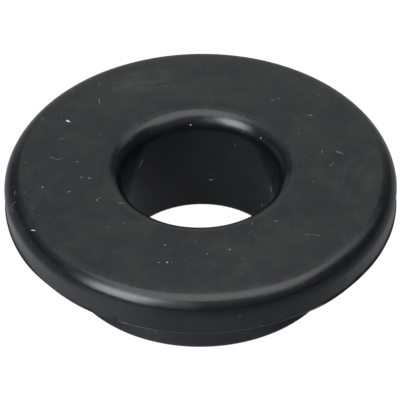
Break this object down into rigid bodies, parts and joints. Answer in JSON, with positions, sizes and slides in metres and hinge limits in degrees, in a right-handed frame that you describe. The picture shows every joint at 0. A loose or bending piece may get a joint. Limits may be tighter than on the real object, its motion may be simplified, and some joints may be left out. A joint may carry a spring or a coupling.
{
  "type": "rubber grommet",
  "caption": "Round moulded rubber grommet: a wide flange with a gently sloped top and a rounded rim, a grooved neck and a snap-in lip, around a straight bore.",
  "frame": {"origin": "on the bore's axis, at the foot of the snap-in lip that the part stands on", "axes": "+Z along the bore's axis, from the lip to the top face of the flange; the part is round, so X and Y are free"},
  "size_m": [0.0476, 0.0476, 0.0144],
  "materials": {
    "rubber": "fine matte mould texture, slightly dusty"
  },
  "bodies": {
    "root": {"grommet": "rubber"}
  },
  "joints": []
}
